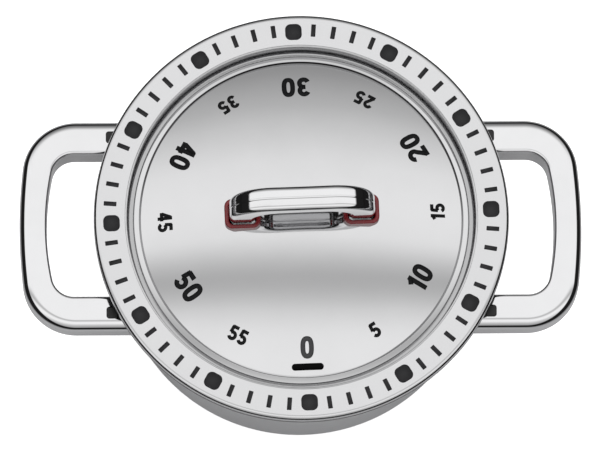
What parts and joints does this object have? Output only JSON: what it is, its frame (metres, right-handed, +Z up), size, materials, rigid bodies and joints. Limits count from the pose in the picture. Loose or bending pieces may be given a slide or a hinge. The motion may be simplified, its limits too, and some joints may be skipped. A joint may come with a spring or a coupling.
{
  "type": "kitchen timer",
  "caption": "Mechanical kitchen timer shaped like a small lidded pot, with a turning minute ring and lid, side handles, and a sealed spring-driven movement with a bell.",
  "frame": {"origin": "centre of the base, on the plane that the feet stand on", "axes": "+X along the side handles, -Y towards the index mark and the user, +Z up through the dial's axis"},
  "size_m": [0.0952, 0.07, 0.0505],
  "materials": {
    "brushed_steel": "brushed",
    "satin_ring": "satin",
    "mirror_lid": "mirror",
    "chrome": "mirror",
    "black_plastic": "matte",
    "black_print": "matte",
    "rubber": "matte",
    "red_collar": "glossy",
    "brass": "satin",
    "bell_steel": "polished",
    "blued_steel": "blued",
    "screw_steel": "zinc plated",
    "turned_steel": "turned"
  },
  "bodies": {
    "pot": {"pot_shell": "brushed_steel", "inner_case": "black_plastic", "deck_bush": "brass", "base_cap": "black_plastic", "rubber_feet": "rubber", "base_screws": "screw_steel", "index_mark": "black_print", "left_handle": "chrome", "right_handle": "chrome", "handle_pads": "black_plastic", "handle_pegs": "black_plastic", "handle_screws": "screw_steel", "bottom_plate": "brass", "top_plate": "brass", "pillars": "turned_steel", "pillar_screws": "screw_steel", "movement_screws": "screw_steel", "mainspring": "blued_steel", "spring_post": "turned_steel", "bell": "bell_steel", "bell_post": "turned_steel", "bell_screw": "screw_steel", "hammer_spring": "blued_steel", "trip_post": "turned_steel"},
    "dial": {"dial_ring": "satin_ring", "lid": "mirror_lid", "lid_handle": "chrome", "left_collar": "red_collar", "right_collar": "red_collar", "lid_screws": "screw_steel", "dial_carrier": "black_plastic", "carrier_bolts": "screw_steel", "hub_screw": "screw_steel", "dial_arbor": "turned_steel", "main_wheel": "brass", "ratchet_wheel": "turned_steel", "click": "turned_steel", "click_rivet": "turned_steel", "click_spring": "blued_steel", "zero_cam": "turned_steel"},
    "second_shaft": {"second_arbor": "turned_steel", "second_wheel": "brass", "strike_wheel": "turned_steel"},
    "third_shaft": {"third_arbor": "turned_steel", "third_wheel": "brass"},
    "escape_shaft": {"escape_arbor": "turned_steel", "escape_wheel": "brass"},
    "anchor_shaft": {"anchor_arbor": "turned_steel", "anchor": "brass", "pallet_pins": "turned_steel", "balance": "brass"},
    "hammer": {"hammer_arbor": "turned_steel", "hammer_arm": "turned_steel", "hammer_head": "turned_steel", "hammer_pallet": "turned_steel"},
    "trip": {"trip_lever": "turned_steel"}
  },
  "joints": [
    {"name": "dial_turn", "type": "hinge", "parent": "pot", "child": "dial", "pos_m": [0, 0, 0.03], "axis": [0, 0, 1], "range_deg": [-354, 0]},
    {"name": "second_spin", "type": "hinge", "parent": "pot", "child": "second_shaft", "pos_m": [0, 0.0175, 0.02], "axis": [0, 0, 1], "range_deg": [0, 2124]},
    {"name": "third_spin", "type": "hinge", "parent": "pot", "child": "third_shaft", "pos_m": [0.01108, 0.01289, 0.02], "axis": [0, 0, 1], "range_deg": [-10620, 0]},
    {"name": "escape_spin", "type": "hinge", "parent": "pot", "child": "escape_shaft", "pos_m": [0.01728, 0.00505, 0.02], "axis": [0, 0, 1], "range_deg": [0, 42480]},
    {"name": "anchor_swing", "type": "hinge", "parent": "pot", "child": "anchor_shaft", "pos_m": [0.01856, -0.00123, 0.02], "axis": [0, 0, 1], "range_deg": [-8, 8]},
    {"name": "hammer_swing", "type": "hinge", "parent": "pot", "child": "hammer", "pos_m": [-0.01429, 0.00825, 0.02], "axis": [0, 0, 1], "range_deg": [-10, 2]},
    {"name": "trip_swing", "type": "hinge", "parent": "pot", "child": "trip", "pos_m": [-0.01175, -0.00428, 0.02], "axis": [0, 0, 1], "range_deg": [-6, 0]}
  ],
  "couplings": [
    {"joint": "second_spin", "follows": "dial_turn", "ratio": -6},
    {"joint": "third_spin", "follows": "dial_turn", "ratio": 30},
    {"joint": "escape_spin", "follows": "dial_turn", "ratio": -120}
  ]
}
